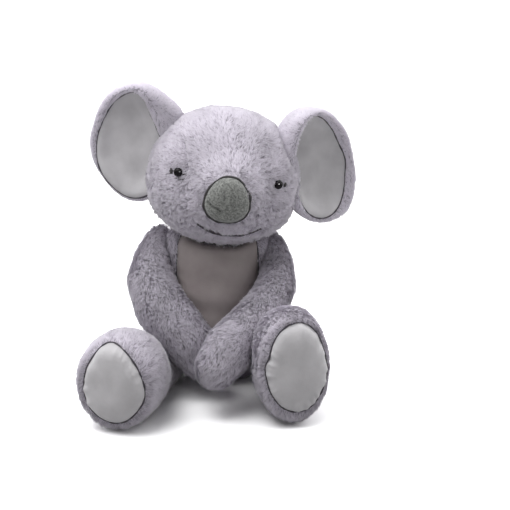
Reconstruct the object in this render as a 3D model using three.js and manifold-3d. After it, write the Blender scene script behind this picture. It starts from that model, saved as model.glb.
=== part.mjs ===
// A seated plush koala: fur covers sewn shut round their stuffing, velour panels set
// into the ears, belly and soles, a padded nose, and eyes locked on with washers.
// Millimetres. +Z is up, the face looks along -Y and the koala's own left is +X.
import * as THREE from "three";
import { mergeVertices } from "three/addons/utils/BufferGeometryUtils.js";
import Module from "manifold-3d";

const wasm = await Module();
wasm.setup();

// Cloth and sewing
const clearance = 0.3; // air between neighbouring pieces
const jointClearance = 0.6; // air where a piece turns against its neighbour
const furWall = 3; // fur fabric: backing cloth and the dense foot of the pile
const earWall = 2.6; // short-pile cloth of the ears and the nose
const seatFlat = 0.5; // depth pressed flat where the toy stands
const overrun = 40; // how far a cutting body runs past what it cuts
const coarseShare = 0.6; // facets of a hidden inside against those of the outside

// Body
const torsoTall = 181;
const torsoWide = 134;
const torsoDeep = 106;
const torsoBack = 4; // how far the seat lies behind the neck
const torsoWideShares = [1.0, 1.04, 0.98, 0.88, 0.86];
const torsoDeepShares = [1.0, 1.04, 0.99, 0.84, 0.76];
const torsoFullness = 3;
const seatSettle = 6; // height over which the weight flattens the seat
const bellyWide = 86; // velour bib from the neck seam down the front of the body
const bellyBottom = 36; // rounded lower end of the bib above the floor
const pouchWide = 84; // pellet pouch in the seat
const pouchDeep = 62;
const pouchTall = 34;
const pouchFullness = 2.4;

// Head
const headWide = 162;
const headTall = 145;
const headDeep = 138;
const headSink = 27; // how far the head settles over the top of the body
const headForward = 8;
const headAside = 7; // the head leans to the koala's left
const headRoll = 7; // degrees
const headYaw = 4.5; // degrees
const headWideShares = [0.98, 1.04, 1.01, 0.97, 0.92];
const headDeepShares = [0.94, 1.0, 1.02, 0.97, 0.88];
const headFullness = 2.2;
const neckHole = 56; // opening of the head cover over the body
const muzzleRise = 12;
const muzzleReach = 60;
const muzzleDrop = 12; // middle of the muzzle below the middle of the head
const cheekRise = 5;
const cheekReach = 46;
const cheekOut = 50;
const cheekDrop = 30;
const headTurnRange = 12; // degrees each way

// Nose
const noseWide = 45;
const noseTall = 47;
const noseThick = 34;
const noseWideShares = [1.02, 1.04, 0.98, 0.84];
const noseFullness = 2.4;
const noseDrop = 5; // middle of the nose below the middle of the head
const noseProud = 1; // middle of the pad in front of the muzzle

// Eyes
const eyeOut = 49; // each eye from the middle of the face
const eyeLift = 9; // above the middle of the head
const eyeRadius = 5;
const eyeDome = 4;
const shankRadius = 1.6;
const shankLength = 9;
const washerRadius = 7;
const washerThick = 1.6;

// Ears
const earWide = 97;
const earTall = 122;
const earRim = 15; // thickness of the padded rim
const earDish = 8; // depth of the hollow front
const earDome = 20; // height of the rounded back
const earOverhang = 15; // middle of the ear beyond the side of the head
const earLift = 22; // above the middle of the head
const earBack = 2;
const earRootInset = 14; // base seam of the ear inside the side of the head
const earTurns = { left: 32, right: 8 }; // degrees that each ear is folded back
const earLeans = { left: 16, right: 9 }; // degrees that each ear leans to the koala's right
const earTaper = 0.05; // narrowing towards the lower end, each way
const earFrontShares = [[0, -1], [0.36, -0.82], [0.66, -0.3]];
const earRimShares = [[0.86, 0.76], [0.96, 0.8], [1, 0]];
const earBackShares = [[0.95, -0.72], [0.76, -0.94], [0.4, -1]];
const liningShare = 0.86; // velour lining inside the fur rim
const earFlexRange = 10; // degrees each way

// Arms: each route runs from inside the shoulder to the tip of the paw
const shoulderHeight = 158;
const shoulderOut = 46;
const armReach = 112; // how far forward the paw lies from the shoulder
const armDrop = 126; // how far the tip of the paw hangs below the shoulder
const armCross = 52; // how far the paw comes in towards the middle
const armThick = 50;
const armFlat = 46;
const armFullness = 2.6;
const armLiftRange = 30; // degrees
const elbowSwingRange = 16; // degrees
const shoulderSeam = 30; // radius of the open end of the cover at the shoulder
const armShapes = {
  left: {
    routeShares: [[-0.1, -0.08, 0.08], [-0.32, 0.14, -0.18], [-0.26, 0.44, -0.38], [0.26, 0.76, -0.58],
      [0.78, 0.95, -0.78], [0.96, 0.99, -1]],
    thickShares: [0.7, 0.78, 0.9, 0.98, 1.2, 1.32],
  },
  right: {
    routeShares: [[-0.2, -0.1, 0.1], [-0.4, 0.08, -0.12], [-0.4, 0.28, -0.4], [0.02, 0.44, -0.62],
      [0.5, 0.55, -0.86], [0.76, 0.6, -1.08]],
    thickShares: [0.72, 0.92, 1.2, 1.22, 1.24, 1.34],
  },
};

// Legs
const hipOut = 55;
const hipForward = 4;
const hipBury = 22; // how far the leg reaches back inside the line of the body
const hipSeam = 36; // radius of the open end of the cover at the hip
const legThick = 56;
const legSplayRange = 12; // degrees
const legFullness = 7;
const legSizes = {
  left: { length: 142, outward: 10.5, footWide: 78, footTall: 119 },
  right: { length: 161, outward: 17, footWide: 86, footTall: 100 },
};
const legSides = 14; // facets round a leg, one of them lying on the floor
const legSwellShares = [0, 0, 0, 0.1, 0.82, 1, 0.96]; // from hip to foot
const soleMargin = 10; // fur left round the sole
const soleDome = 7; // how far the stuffed sole bulges

const fur = { color: "#bdb8c2", roughness: 0.95, metalness: 0 };
const velour = { color: "#b4b2b3", roughness: 0.85, metalness: 0 };
const noseCloth = { color: "#7b7d7b", roughness: 0.9, metalness: 0 };
const wadding = { color: "#f1efe9", roughness: 1, metalness: 0 };
const pelletCloth = { color: "#d8d4c8", roughness: 0.9, metalness: 0 };
const gloss = { color: "#0b0a0b", roughness: 0.08, metalness: 0 };
const washerPlastic = { color: "#e4e4e0", roughness: 0.5, metalness: 0 };

const spot = (left, front, up) => new THREE.Vector3(left, -front, up);
const upward = new THREE.Vector3(0, 0, 1);
const leftward = new THREE.Vector3(1, 0, 0);
const radians = THREE.MathUtils.degToRad;
const outOf = (side) => (side === "left" ? 1 : -1);

function closedGeometry(points, faces) {
  const geometry = new THREE.BufferGeometry();
  geometry.setAttribute("position", new THREE.Float32BufferAttribute(points, 3));
  geometry.setIndex(faces);
  return geometry;
}

// Reads a row of shares at any point along it, in smooth steps.
function readShares(shares, along) {
  const points = shares.map((share, i) => new THREE.Vector3(share, i, 0));
  return new THREE.CatmullRomCurve3(points).getPoint(THREE.MathUtils.clamp(along, 0, 1)).x;
}

// Rings of points from pole to pole become a closed skin that faces out.
function skinOverRings(start, rings, end) {
  const sides = rings[0].length;
  const points = [start, ...rings.flat(), end].flatMap((point) => point.toArray());
  const last = points.length / 3 - 1;
  const faces = [];
  for (let side = 0; side < sides; side++) {
    const next = (side + 1) % sides;
    faces.push(0, 1 + next, 1 + side);
    for (let ring = 0; ring < rings.length - 1; ring++) {
      const here = 1 + ring * sides;
      const there = here + sides;
      faces.push(here + side, here + next, there + next, here + side, there + next, there + side);
    }
    const rim = 1 + (rings.length - 1) * sides;
    faces.push(last, rim + side, rim + next);
  }
  return closedGeometry(points, faces);
}

// Each form is made twice: fine for the outside that shows, coarse for the hidden inside.
const twice = (make) => ({ fine: make(1), coarse: make(coarseShare) });
const share = (count, grain) => Math.round(count * grain);

// A stuffed form swells and tapers along its spine and rounds shut at both ends.
function stuffedForm({ spine, wide, deep, across, fullness, rings, sides }) {
  const curve = new THREE.CatmullRomCurve3(spine, false, "centripetal");
  const loops = [];
  for (let ring = 1; ring < rings; ring++) {
    const along = (1 - Math.cos((Math.PI * ring) / rings)) / 2;
    const middle = curve.getPointAt(along);
    const tangent = curve.getTangentAt(along);
    const broad = across.clone().addScaledVector(tangent, -across.dot(tangent)).normalize();
    const thick = tangent.clone().cross(broad);
    const rounding = (1 - Math.abs(2 * along - 1) ** fullness) ** (1 / fullness);
    loops.push(Array.from({ length: sides }, (_, side) => {
      const turn = (2 * Math.PI * side) / sides;
      return middle.clone()
        .addScaledVector(broad, Math.cos(turn) * wide(along) * rounding)
        .addScaledVector(thick, Math.sin(turn) * deep(along) * rounding);
    }));
  }
  return skinOverRings(curve.getPoint(0), loops, curve.getPoint(1));
}

// Moves each point of a skin along its normal, by an amount worked out from where it is.
function pushSkin(form, amountAt) {
  const geometry = form.clone();
  geometry.computeVertexNormals();
  const { position, normal } = geometry.attributes;
  const point = new THREE.Vector3();
  const outward = new THREE.Vector3();
  for (let i = 0; i < position.count; i++) {
    point.fromBufferAttribute(position, i);
    outward.fromBufferAttribute(normal, i);
    point.addScaledVector(outward, amountAt(point));
    position.setXYZ(i, point.x, point.y, point.z);
  }
  return geometry;
}

const offsetSkin = (form, amount) => pushSkin(form, () => amount);

// Lifts or lowers each point of a form, by an amount worked out from where it is.
function moveUp(form, amountAt) {
  const { position } = form.attributes;
  const point = new THREE.Vector3();
  for (let i = 0; i < position.count; i++) {
    point.fromBufferAttribute(position, i);
    position.setZ(i, point.z + amountAt(point));
  }
  return form;
}

// Stuffing pushed up under the cloth raises a soft round swelling.
const swell = (form, middle, reach, rise) => pushSkin(form, (point) => (
  rise * Math.max(0, 1 - (point.distanceTo(middle) / reach) ** 2) ** 2));

function solidOf(geometry) {
  const bare = geometry.clone();
  bare.deleteAttribute("normal");
  bare.deleteAttribute("uv");
  const merged = mergeVertices(bare);
  const corners = Array.from(merged.index.array);
  const faces = corners.flatMap((_, i) => {
    const [a, b, c] = i % 3 ? [0, 0, 0] : corners.slice(i, i + 3);
    return a === b || b === c || c === a ? [] : [a, b, c];
  });
  return new wasm.Manifold(new wasm.Mesh({
    numProp: 3,
    vertProperties: new Float32Array(merged.attributes.position.array),
    triVerts: new Uint32Array(faces),
  }));
}

const union = (solids) => solids.reduce((all, solid) => all.add(solid));
const carve = (solid, tools) => tools.reduce((rest, tool) => rest.subtract(tool), solid);

// Joints turn their piece about an axis; the steps are close enough to sweep a soft form.
function joint(pivot, axis, range, steps) {
  const angles = Array.from({ length: steps + 1 }, (_, i) => range[0] + ((range[1] - range[0]) * i) / steps);
  const place = (angle) => new THREE.Matrix4().makeTranslation(pivot)
    .multiply(new THREE.Matrix4().makeRotationAxis(axis, radians(angle)))
    .multiply(new THREE.Matrix4().makeTranslation(pivot.clone().negate()));
  return { pivot, axis, range, angles, place };
}

// What presses on a piece is a list of skins for each gap that is asked for.
const resting = (form) => (gap) => [offsetSkin(form.fine, gap)];
const swept = (skinsAt, hinge, sense) => (gap) => hinge.angles.flatMap((angle) => (
  skinsAt(gap + jointClearance - clearance).map((skin) => skin.applyMatrix4(hinge.place(sense * angle)))));

const floorUnder = (gap) => {
  const span = torsoWide + headWide + armReach;
  return [new THREE.BoxGeometry(span, span, overrun).translate(0, 0, gap - clearance - overrun / 2)];
};

function ball(middle, radius) {
  return solidOf(new THREE.SphereGeometry(radius, 12, 8).translate(middle.x, middle.y, middle.z));
}

// Sews a stuffed piece: a cover with a wall, open along its seam, and the stuffing in it.
function sew(form, { wall, presses, seam, seamRadius, through = false }) {
  const pressed = (solid, gap) => carve(solid, presses.map((press) => union(press(gap).map(solidOf))));
  const whole = solidOf(form.fine);
  const room = (gap) => {
    const inside = solidOf(offsetSkin(form.coarse, -wall - gap));
    const open = (through ? whole : inside).intersect(ball(seam, seamRadius - gap));
    const walled = pressed(inside, clearance + wall + gap);
    return walled.add(gap ? pressed(open, clearance + gap) : open);
  };
  return { cover: pressed(whole, clearance).subtract(room(0)), stuffing: room(clearance) };
}

// A panel takes the wall of a cover inside the outline that the punch cuts.
function setPanel(piece, punch) {
  return { ...piece, cover: piece.cover.subtract(punch(0)), panel: piece.cover.intersect(punch(-clearance)) };
}

// A punch runs from its middle along a direction, with a gap round its outline.
const punchOf = (outlineAt, middle, along, up, length) => (gap) => {
  const punch = new THREE.ExtrudeGeometry(outlineAt(gap), { depth: length, bevelEnabled: false, curveSegments: 8 });
  const side = up.clone().cross(along).normalize();
  const frame = new THREE.Matrix4().makeBasis(side, along.clone().cross(side), along);
  return solidOf(punch.applyMatrix4(frame.setPosition(middle)));
};

const ovalOf = (wide, tall) => (gap) => (
  new THREE.Shape().absellipse(0, 0, wide / 2 + gap, tall / 2 + gap, 0, 2 * Math.PI));

// A bib has a round lower end and straight sides that run up past the neck.
const bibOf = (wide, tall) => (gap) => {
  const half = wide / 2;
  const outline = new THREE.Shape().absarc(0, half, half + gap, Math.PI, 2 * Math.PI);
  outline.lineTo(half + gap, tall);
  outline.lineTo(-half - gap, tall);
  return outline;
};

// Body
function torsoForm(grain) {
  const spine = [spot(0, -torsoBack, -seatFlat), spot(0, -torsoBack, torsoTall / 2), spot(0, 0, torsoTall)];
  const plump = stuffedForm({
    spine, across: leftward, fullness: torsoFullness, rings: share(9, grain), sides: share(18, grain),
    wide: (along) => (torsoWide / 2) * readShares(torsoWideShares, along),
    deep: (along) => (torsoDeep / 2) * readShares(torsoDeepShares, along),
  });
  return moveUp(plump, (point) => (point.z < seatSettle ? -seatFlat - point.z : 0));
}

// Head, made upright round its own middle and then leant over the body
const headMiddle = spot(headAside, headForward, torsoTall + headTall / 2 - headSink);
const headPlace = new THREE.Matrix4().makeTranslation(headMiddle)
  .multiply(new THREE.Matrix4().makeRotationY(radians(headRoll)))
  .multiply(new THREE.Matrix4().makeRotationZ(radians(headYaw)));
const onHead = (left, front, up) => spot(left, front, up).applyMatrix4(headPlace);
const headward = (left, front, up) => spot(left, front, up).transformDirection(headPlace);

function headForm(grain) {
  const plain = stuffedForm({
    spine: [spot(0, 0, -headTall / 2), spot(0, 0, 0), spot(0, 0, headTall / 2)],
    across: leftward, fullness: headFullness, rings: share(10, grain), sides: share(20, grain),
    wide: (along) => (headWide / 2) * readShares(headWideShares, along),
    deep: (along) => (headDeep / 2) * readShares(headDeepShares, along),
  });
  const muzzle = swell(plain, spot(0, headDeep / 2, -muzzleDrop), muzzleReach, muzzleRise);
  const cheeks = [-cheekOut, cheekOut].reduce((form, out) => (
    swell(form, spot(out, headDeep / 3, -cheekDrop), cheekReach, cheekRise)), muzzle);
  return cheeks.applyMatrix4(headPlace);
}

function noseForm(grain) {
  const middle = headDeep / 2 + muzzleRise + noseProud;
  return stuffedForm({
    spine: [spot(0, middle, -noseDrop - noseTall / 2), spot(0, middle, noseTall / 2 - noseDrop)],
    across: leftward, fullness: noseFullness, rings: share(8, grain), sides: share(12, grain),
    wide: (along) => (noseWide / 2) * readShares(noseWideShares, along),
    deep: () => noseThick / 2,
  }).applyMatrix4(headPlace);
}

// An ear is a padded dish: a hollow front, a thick rim and a domed back.
const earTurnOf = (side) => radians(outOf(side) * earTurns[side]);
const earMiddle = (side) => spot(outOf(side) * (headWide / 2 + earOverhang), -earBack, earLift);

function earForm(side, grain) {
  const scaled = (shares, height) => shares.map(([span, rise]) => [span, rise * height]);
  const profile = [...scaled(earFrontShares, earDish), ...scaled(earRimShares, earRim / 2),
    ...scaled(earBackShares, earDome)];
  const sides = share(16, grain);
  const rings = profile.slice(1).map(([span, rise]) => Array.from({ length: sides }, (_, step) => {
    const turn = (-2 * Math.PI * step) / sides;
    const wide = earWide * (1 + earTaper * Math.sin(turn));
    return spot((Math.cos(turn) * span * wide) / 2, rise, (Math.sin(turn) * span * earTall) / 2);
  }));
  const fold = new THREE.Matrix4().makeRotationZ(earTurnOf(side))
    .multiply(new THREE.Matrix4().makeRotationY(-radians(earLeans[side]))).setPosition(earMiddle(side));
  return skinOverRings(spot(0, -earDish, 0), rings, spot(0, -earDome, 0))
    .applyMatrix4(fold).applyMatrix4(headPlace);
}

function armSpine(side) {
  return armShapes[side].routeShares.map(([cross, reach, drop]) => spot(
    outOf(side) * (shoulderOut - cross * armCross), reach * armReach, shoulderHeight + drop * armDrop));
}

function armForm(side, grain) {
  const thickness = (along) => readShares(armShapes[side].thickShares, along) / 2;
  return stuffedForm({
    spine: armSpine(side), across: leftward, fullness: armFullness, rings: share(10, grain), sides: share(12, grain),
    wide: (along) => armThick * thickness(along),
    deep: (along) => armFlat * thickness(along),
  });
}

const hipOf = (side) => spot(outOf(side) * hipOut, hipForward, 0);
const headingOf = (side) => {
  const outward = radians(legSizes[side].outward);
  return spot(outOf(side) * Math.sin(outward), Math.cos(outward), 0);
};

function legForm(side, grain) {
  const { length, footWide, footTall } = legSizes[side];
  const heading = headingOf(side);
  const hip = hipOf(side).addScaledVector(heading, -hipBury);
  const sizeAt = (along, foot) => legThick + readShares(legSwellShares, along) * (foot - legThick);
  const level = stuffedForm({
    spine: [hip, hipOf(side).addScaledVector(heading, length)],
    across: upward.clone().cross(heading), fullness: legFullness,
    rings: share(11, grain), sides: share(legSides, grain),
    wide: (along) => sizeAt(along, footWide) / 2,
    deep: (along) => sizeAt(along, footTall) / 2,
  });
  return moveUp(level, (point) => {
    const along = point.sub(hip).dot(heading) / (length + hipBury);
    return (Math.cos(Math.PI / legSides) * sizeAt(along, footTall)) / 2 - seatFlat;
  });
}

// Where a line from inside a form leaves it, and which way the skin faces there
function landOn(form, from, direction) {
  const skin = new THREE.Mesh(form, new THREE.MeshBasicMaterial({ side: THREE.DoubleSide }));
  return new THREE.Raycaster(from, direction.clone().normalize()).intersectObject(skin).at(-1);
}

const pair = (make) => ({ left: make("left"), right: make("right") });
const head = twice(headForm);
const torso = twice(torsoForm);
const arms = pair((side) => twice((grain) => armForm(side, grain)));
const legs = pair((side) => twice((grain) => legForm(side, grain)));

// Joints: positive angles turn the head to its left, fold an ear back, lift the left arm
// forward, swing the right elbow forward round the held paw, and spread a leg outward.
const neck = joint(spot(0, 0, torsoTall), upward, [-headTurnRange, headTurnRange], 2);
const earRoot = (side) => joint(
  onHead(outOf(side) * (headWide / 2 - earRootInset), -earBack, earLift),
  headward(0, 0, outOf(side)), [-earFlexRange, earFlexRange], 2);
const shoulderOf = (side) => armSpine(side)[0].lerp(armSpine(side)[1], 0.5);
const pawOf = (side) => armSpine(side).at(-2).lerp(armSpine(side).at(-1), 0.5);
const armJoints = {
  left: joint(shoulderOf("left"), leftward.clone().negate(), [0, armLiftRange], 3),
  right: joint(shoulderOf("right"), shoulderOf("right").sub(pawOf("right")).normalize(), [0, elbowSwingRange], 2),
};
const hipJoint = (side) => joint(hipOf(side).setZ(legThick / 2), spot(0, 0, outOf(side)), [0, legSplayRange], 1);

// The body is pressed by the turning head, and the limbs by the body, head and legs.
const turningHead = swept(resting(head), neck, 1);
const neckSeat = onHead(0, 0, -headTall / 2);

function sewHead() {
  return sew(head, { wall: furWall, presses: [], seam: neckSeat, seamRadius: neckHole / 2, through: true });
}

function sewTorso() {
  const piece = sew(torso, {
    wall: furWall, presses: [turningHead, floorUnder], seam: neckSeat, seamRadius: neckHole / 2,
  });
  const bib = bibOf(bellyWide, torsoTall);
  return setPanel(piece, punchOf(bib, spot(0, 0, bellyBottom), spot(0, 1, 0), upward, torsoDeep));
}

function sewNose() {
  return sew(twice(noseForm), {
    wall: earWall, presses: [resting(head)], seam: onHead(0, headDeep / 2, -noseDrop), seamRadius: noseTall,
  });
}

function sewEar(side) {
  const root = earRoot(side);
  const piece = sew(twice((grain) => earForm(side, grain)), {
    wall: earWall, presses: [swept(resting(head), root, -1)], seam: root.pivot, seamRadius: earTall / 2,
  });
  const turn = new THREE.Matrix4().makeRotationZ(earTurnOf(side))
    .multiply(new THREE.Matrix4().makeRotationY(-radians(earLeans[side])));
  const face = spot(0, 1, 0).applyMatrix4(turn).transformDirection(headPlace);
  const top = upward.clone().applyMatrix4(turn).transformDirection(headPlace);
  const middle = earMiddle(side).applyMatrix4(headPlace).addScaledVector(face, -earDish - earWall - clearance);
  return setPanel(piece, punchOf(ovalOf(liningShare * earWide, liningShare * earTall), middle, face, top, overrun));
}

function sewLeg(side) {
  const hinge = hipJoint(side);
  const seam = landOn(torso.fine, hinge.pivot, headingOf(side)).point;
  const piece = sew(legs[side], {
    wall: furWall, presses: [swept(resting(torso), hinge, -1), floorUnder], seam, seamRadius: hipSeam,
  });
  const { length, footWide, footTall } = legSizes[side];
  const sole = hipOf(side).addScaledVector(headingOf(side), length - soleDome - furWall)
    .setZ(footTall / 2 - seatFlat);
  const outline = ovalOf(footWide - 2 * soleMargin, footTall - 2 * soleMargin);
  return setPanel(piece, punchOf(outline, sole, headingOf(side), upward, overrun));
}

function sewArm(side, others) {
  const hinge = armJoints[side];
  const seam = shoulderOf(side);
  const presses = [resting(torso), turningHead, ...others.map(resting)]
    .map((skins) => swept(skins, hinge, -1));
  return sew(arms[side], { wall: furWall, presses, seam, seamRadius: shoulderSeam });
}

// A dome or ring turned round the line that an eye's shank follows
function turned(profile, eye) {
  const lathe = new THREE.LatheGeometry(profile.map(([radius, out]) => new THREE.Vector2(radius, out)), 12);
  const tilt = new THREE.Quaternion().setFromUnitVectors(new THREE.Vector3(0, 1, 0), eye.outward);
  return solidOf(lathe.applyQuaternion(tilt).translate(eye.point.x, eye.point.y, eye.point.z));
}

function eyePieces(side) {
  const hit = landOn(head.fine, onHead(outOf(side) * eyeOut, 0, eyeLift), headward(0, 1, 0));
  const eye = { point: hit.point, outward: hit.face.normal.clone() };
  const sag = (radius) => clearance + radius ** 2 / headWide;
  const base = sag(eyeRadius);
  const arc = Array.from({ length: 4 }, (_, i) => {
    const turn = (Math.PI / 2) * (i / 4);
    return [eyeRadius * Math.cos(turn), base + eyeDome * Math.sin(turn)];
  });
  const rod = (radius, from, to) => turned([[0, from], [radius, from], [radius, to], [0, to]], eye);
  const inner = -furWall - sag(washerRadius);
  const bore = shankRadius + clearance;
  return {
    eye: turned([[0, base - shankLength], [shankRadius, base - shankLength], [shankRadius, base],
      ...arc, [0, base + eyeDome]], eye),
    washer: turned([[bore, inner - washerThick], [washerRadius, inner - washerThick],
      [washerRadius, inner], [bore, inner], [bore, inner - washerThick]], eye),
    hole: rod(bore, -overrun / 4, eyeRadius)
      .add(rod(washerRadius + clearance, inner - washerThick - clearance, inner + clearance)),
    pocket: rod(washerRadius + clearance, base - shankLength - clearance, eyeRadius),
  };
}

function pouchForm() {
  const base = furWall + clearance;
  return stuffedForm({
    spine: [spot(0, -torsoBack, base - seatFlat), spot(0, -torsoBack, base + pouchTall)],
    across: leftward, fullness: pouchFullness, rings: 7, sides: 14,
    wide: () => pouchWide / 2, deep: () => pouchDeep / 2,
  });
}

// The finished koala: each moving piece hangs from its joint.
const koala = new THREE.Group();

function show(name, solid, finish, parent = koala) {
  const { vertProperties, triVerts } = solid.getMesh();
  const geometry = closedGeometry(Array.from(vertProperties), Array.from(triVerts));
  const middle = new THREE.Vector3();
  parent.updateWorldMatrix(true, false);
  parent.getWorldPosition(middle);
  const mesh = new THREE.Mesh(geometry.translate(-middle.x, -middle.y, -middle.z),
    new THREE.MeshStandardMaterial(finish));
  mesh.name = name;
  parent.add(mesh);
}

function hang(hinge, parent = koala) {
  const group = new THREE.Group();
  group.position.copy(parent.worldToLocal(hinge.pivot.clone()));
  parent.add(group);
  parent.updateWorldMatrix(true, true);
  return group;
}

const body = sewTorso();
const pouch = pouchForm();
show("torso_cover", body.cover, fur);
show("belly_panel", body.panel, velour);
show("torso_stuffing", body.stuffing.subtract(solidOf(offsetSkin(pouch, clearance))), wadding);
show("seat_pouch", body.stuffing.intersect(solidOf(pouch)), pelletCloth);

const headGroup = hang(neck);
const skull = sewHead();
const eyes = pair(eyePieces);
show("head_cover", carve(skull.cover, [eyes.left.hole, eyes.right.hole]), fur, headGroup);
show("head_stuffing", carve(skull.stuffing, [eyes.left.pocket, eyes.right.pocket]), wadding, headGroup);
const nose = sewNose();
show("nose_cover", nose.cover, noseCloth, headGroup);
show("nose_stuffing", nose.stuffing, wadding, headGroup);

const sewnArms = { left: sewArm("left", [legs.left]) };
sewnArms.right = sewArm("right", [legs.right, legs.left, arms.left]);
for (const side of ["left", "right"]) {
  show(`${side}_eye`, eyes[side].eye, gloss, headGroup);
  show(`${side}_eye_washer`, eyes[side].washer, washerPlastic, headGroup);
  const earGroup = hang(earRoot(side), headGroup);
  const ear = sewEar(side);
  show(`${side}_ear_back`, ear.cover, fur, earGroup);
  show(`${side}_ear_lining`, ear.panel, velour, earGroup);
  show(`${side}_ear_wadding`, ear.stuffing, wadding, earGroup);
  const armGroup = hang(armJoints[side]);
  show(`${side}_arm_cover`, sewnArms[side].cover, fur, armGroup);
  show(`${side}_arm_stuffing`, sewnArms[side].stuffing, wadding, armGroup);
  const legGroup = hang(hipJoint(side));
  const leg = sewLeg(side);
  show(`${side}_leg_cover`, leg.cover, fur, legGroup);
  show(`${side}_sole`, leg.panel, velour, legGroup);
  show(`${side}_leg_stuffing`, leg.stuffing, wadding, legGroup);
}

export default koala;
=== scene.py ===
import math

import bpy
import numpy as np
from mathutils import Matrix, Vector
from mathutils.bvhtree import BVHTree
from mathutils.kdtree import KDTree


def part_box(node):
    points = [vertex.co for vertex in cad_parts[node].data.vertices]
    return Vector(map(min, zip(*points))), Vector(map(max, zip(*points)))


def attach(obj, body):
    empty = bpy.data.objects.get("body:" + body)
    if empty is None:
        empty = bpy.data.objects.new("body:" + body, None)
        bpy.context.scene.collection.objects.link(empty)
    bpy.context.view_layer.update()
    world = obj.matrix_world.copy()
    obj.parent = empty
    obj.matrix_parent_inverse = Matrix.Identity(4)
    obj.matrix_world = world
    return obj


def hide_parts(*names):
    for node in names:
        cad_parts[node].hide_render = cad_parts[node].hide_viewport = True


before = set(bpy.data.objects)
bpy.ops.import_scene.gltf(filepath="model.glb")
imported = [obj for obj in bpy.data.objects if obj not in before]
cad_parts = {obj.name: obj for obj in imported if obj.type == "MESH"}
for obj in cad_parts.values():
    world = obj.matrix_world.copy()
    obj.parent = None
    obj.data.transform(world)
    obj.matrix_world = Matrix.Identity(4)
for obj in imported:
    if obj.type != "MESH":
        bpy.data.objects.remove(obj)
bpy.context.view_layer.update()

mm = 0.001


# The view
# The toy sits free on a plain white floor, and the camera looks down on it a little. A wide
# soft light hangs overhead and a smaller one before it, to its right. Two white walls behind
# it light its edges, and one small lamp only makes the highlight in the eyes.
def linear(hex_colour):
    channels = [int(hex_colour[i:i + 2], 16) / 255 for i in (1, 3, 5)]
    return tuple(c / 12.92 if c <= 0.04045 else ((c + 0.055) / 1.055) ** 2.4 for c in channels) + (1.0,)


camera_rise = math.radians(17)
camera_distance = 1200 * mm
camera_aim = Vector((39.6 * mm, 0, 137 * mm))
half_view = 0.2275  # tangent of half the angle of view

bpy.ops.object.camera_add()
camera = bpy.context.object
camera.name = "camera"
camera_way = Vector((0, -math.cos(camera_rise), math.sin(camera_rise)))
camera.location = camera_aim + camera_distance * camera_way
camera.rotation_euler = (math.pi / 2 - camera_rise, 0, 0)
camera.data.lens = camera.data.sensor_width / (2 * half_view)
bpy.context.scene.camera = camera


def add_node(material, kind, links=(), **settings):
    """Adds one shader node. Links are (its socket, the output that feeds it); in_X sets socket X."""
    node = material.node_tree.nodes.new(kind)
    for key, value in settings.items():
        if key.startswith("in_"):
            node.inputs[key[3:].replace("_", " ")].default_value = value
        else:
            setattr(node, key, value)
    for socket, source in links:
        material.node_tree.links.new(source, node.inputs[socket])
    return node


def new_material(name):
    material = bpy.data.materials.new(name)
    material.use_nodes = True
    material.node_tree.nodes.clear()
    return material


bpy.ops.object.light_add(type="SUN")
overhead = bpy.context.object
overhead.name = "overhead_softbox"
overhead.data.energy = 1.42
overhead.data.angle = math.radians(50)
overhead.rotation_euler = Vector((-0.15, 0.1, 1)).to_track_quat("Z", "Y").to_euler()

for wall_side, energy in ((-1, 1.4), (1, 1.8)):
    bpy.ops.object.light_add(type="SUN")
    white_wall = bpy.context.object
    white_wall.name = "white_wall"
    white_wall.data.energy = energy
    white_wall.data.angle = math.radians(80)
    white_wall.rotation_euler = Vector((0.8 * wall_side, 0.45, 0.5)).to_track_quat("Z", "Y").to_euler()

bpy.ops.object.light_add(type="AREA", location=Vector((-280, -340, 860)) * mm)
near_light = bpy.context.object
near_light.name = "near_softbox"
near_light.data.size = 500 * mm
near_light.data.energy = 2.7
light_way = near_light.location - Vector((0, 0, 250 * mm))
near_light.rotation_euler = light_way.to_track_quat("Z", "Y").to_euler()

bpy.ops.object.light_add(type="AREA", location=Vector((600, -1300, 750)) * mm)
catch_light = bpy.context.object
catch_light.name = "catch_light"
catch_light.data.size = 300 * mm
catch_light.data.energy = 90
catch_light.rotation_euler = (catch_light.location - camera_aim).to_track_quat("Z", "Y").to_euler()
catch_light.light_linking.receiver_collection = bpy.data.collections.new("catches_light")

world = bpy.data.worlds.new("white_room")
bpy.context.scene.world = world
world.use_nodes = True
world.node_tree.nodes.clear()
walls = add_node(world, "ShaderNodeBackground", in_Color=(1, 1, 1, 1), in_Strength=0.22)
seen = add_node(world, "ShaderNodeBackground", in_Color=(1, 1, 1, 1), in_Strength=1.0)
path = add_node(world, "ShaderNodeLightPath")
shown = add_node(world, "ShaderNodeMath",
                 [(0, path.outputs["Is Camera Ray"]), (1, path.outputs["Is Glossy Ray"])],
                 operation="MAXIMUM")
room = add_node(world, "ShaderNodeMixShader",
                [(0, shown.outputs[0]), (1, walls.outputs[0]), (2, seen.outputs[0])])
add_node(world, "ShaderNodeOutputWorld", [(0, room.outputs[0])])

bpy.ops.mesh.primitive_plane_add(size=120)
floor = bpy.context.object
floor.name = "floor"
paper = new_material("white_paper_sweep")
# Seen by the camera the paper is lifted until it is white where nothing shades it.
path = add_node(paper, "ShaderNodeLightPath")
matt = add_node(paper, "ShaderNodeBsdfDiffuse", in_Color=linear("#b9b9b9"))
lifted = add_node(paper, "ShaderNodeBsdfDiffuse", in_Color=(1.7, 1.7, 1.71, 1))
both = add_node(paper, "ShaderNodeMixShader",
                [(0, path.outputs["Is Camera Ray"]), (1, matt.outputs[0]), (2, lifted.outputs[0])])
add_node(paper, "ShaderNodeOutputMaterial", [(0, both.outputs[0])])
floor.data.materials.append(paper)

bpy.context.scene.view_settings.view_transform = "Standard"


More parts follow.
